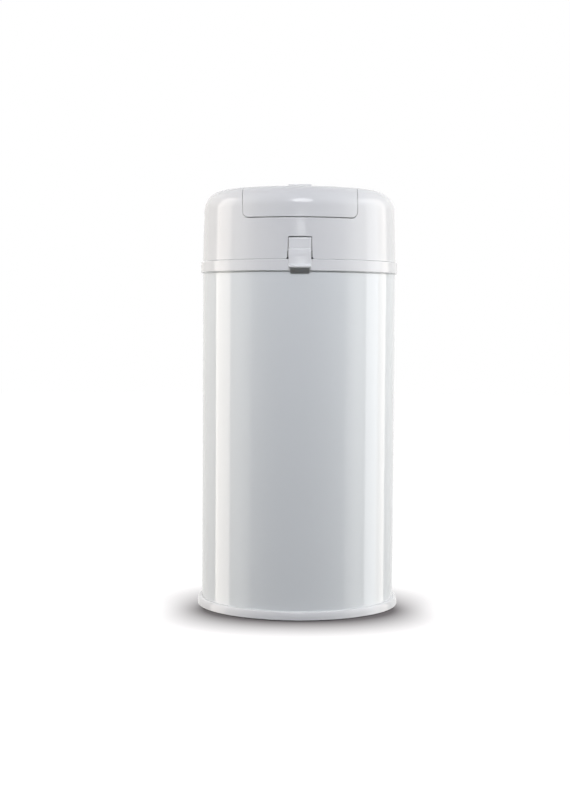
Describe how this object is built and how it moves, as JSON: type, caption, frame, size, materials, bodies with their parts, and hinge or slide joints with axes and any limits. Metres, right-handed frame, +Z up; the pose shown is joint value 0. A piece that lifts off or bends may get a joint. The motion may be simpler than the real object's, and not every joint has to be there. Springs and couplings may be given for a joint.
{
  "type": "nappy bin",
  "caption": "Tall round nappy bin with a hinged domed head, a front latch and a flap geared to a rotating scoop.",
  "frame": {"origin": "centre of the bin on the floor, at the underside of the foot ring", "axes": "+Z up along the bin's axis, -Y towards the front with the latch and the flap, +X to the right seen from the front"},
  "size_m": [0.2726, 0.2827, 0.5602],
  "materials": {
    "painted_steel": "gloss white powder coat",
    "white_plastic": "gloss moulded",
    "inner_plastic": "fine matt texture",
    "seal_rubber": "soft matt",
    "screw_steel": "zinc plated"
  },
  "bodies": {
    "bin": {"base_moulding": "white_plastic", "foot_ring": "seal_rubber", "floor_plate": "inner_plastic", "base_screws": "screw_steel", "body_tube": "painted_steel", "collar": "white_plastic", "hinge_bracket": "white_plastic", "hinge_bracket_screws": "screw_steel", "head_hinge_pin": "screw_steel", "bag_ring_pins": "screw_steel"},
    "bag_ring": {"bag_ring": "inner_plastic"},
    "head": {"head_shell": "white_plastic", "head_gasket": "seal_rubber", "hinge_leaf": "white_plastic", "hinge_leaf_screws": "screw_steel", "lid_deck": "inner_plastic", "deck_screws": "screw_steel", "scoop_housing": "inner_plastic", "housing_screws": "screw_steel", "scoop_wipers": "seal_rubber", "scoop_bushes": "inner_plastic", "flap_hinge_rod": "screw_steel", "latch_bracket": "inner_plastic", "latch_bracket_screws": "screw_steel", "latch_pin": "screw_steel", "latch_spring": "screw_steel"},
    "latch": {"latch_lever": "white_plastic"},
    "flap": {"flap_cover": "white_plastic", "flap_liner": "inner_plastic", "flap_gasket": "seal_rubber", "flap_screws": "screw_steel", "flap_gear_cheek": "inner_plastic", "flap_plain_cheek": "inner_plastic", "cheek_screws": "screw_steel"},
    "scoop": {"scoop_shell": "inner_plastic", "scoop_ends": "inner_plastic", "scoop_pinion": "inner_plastic", "pinion_screw": "screw_steel"}
  },
  "joints": [
    {"name": "head_hinge", "type": "hinge", "parent": "bin", "child": "head", "pos_m": [0, 0.139, 0.4622], "axis": [-1, 0, 0], "range_deg": [0, 95]},
    {"name": "bag_ring_hinge", "type": "hinge", "parent": "bin", "child": "bag_ring", "pos_m": [0, 0.113, 0.4538], "axis": [-1, 0, 0], "range_deg": [0, 60]},
    {"name": "latch_pivot", "type": "hinge", "parent": "head", "child": "latch", "pos_m": [0, -0.124, 0.4742], "axis": [-1, 0, 0], "range_deg": [0, 12], "stiffness_Nm_per_rad": 0.3, "springref_deg": -20.05, "deforming": ["latch_spring"]},
    {"name": "flap_hinge", "type": "hinge", "parent": "head", "child": "flap", "pos_m": [0, 0.044, 0.55441], "axis": [-1, 0, 0], "range_deg": [0, 100]},
    {"name": "scoop_axle", "type": "hinge", "parent": "head", "child": "scoop", "pos_m": [0, 0, 0.49], "axis": [1, 0, 0], "range_deg": [0, 178.6]}
  ],
  "couplings": [
    {"joint": "scoop_axle", "follows": "flap_hinge", "ratio": 1.7857},
    {"joint": "bag_ring_hinge", "follows": "head_hinge", "ratio": 0.63158}
  ]
}
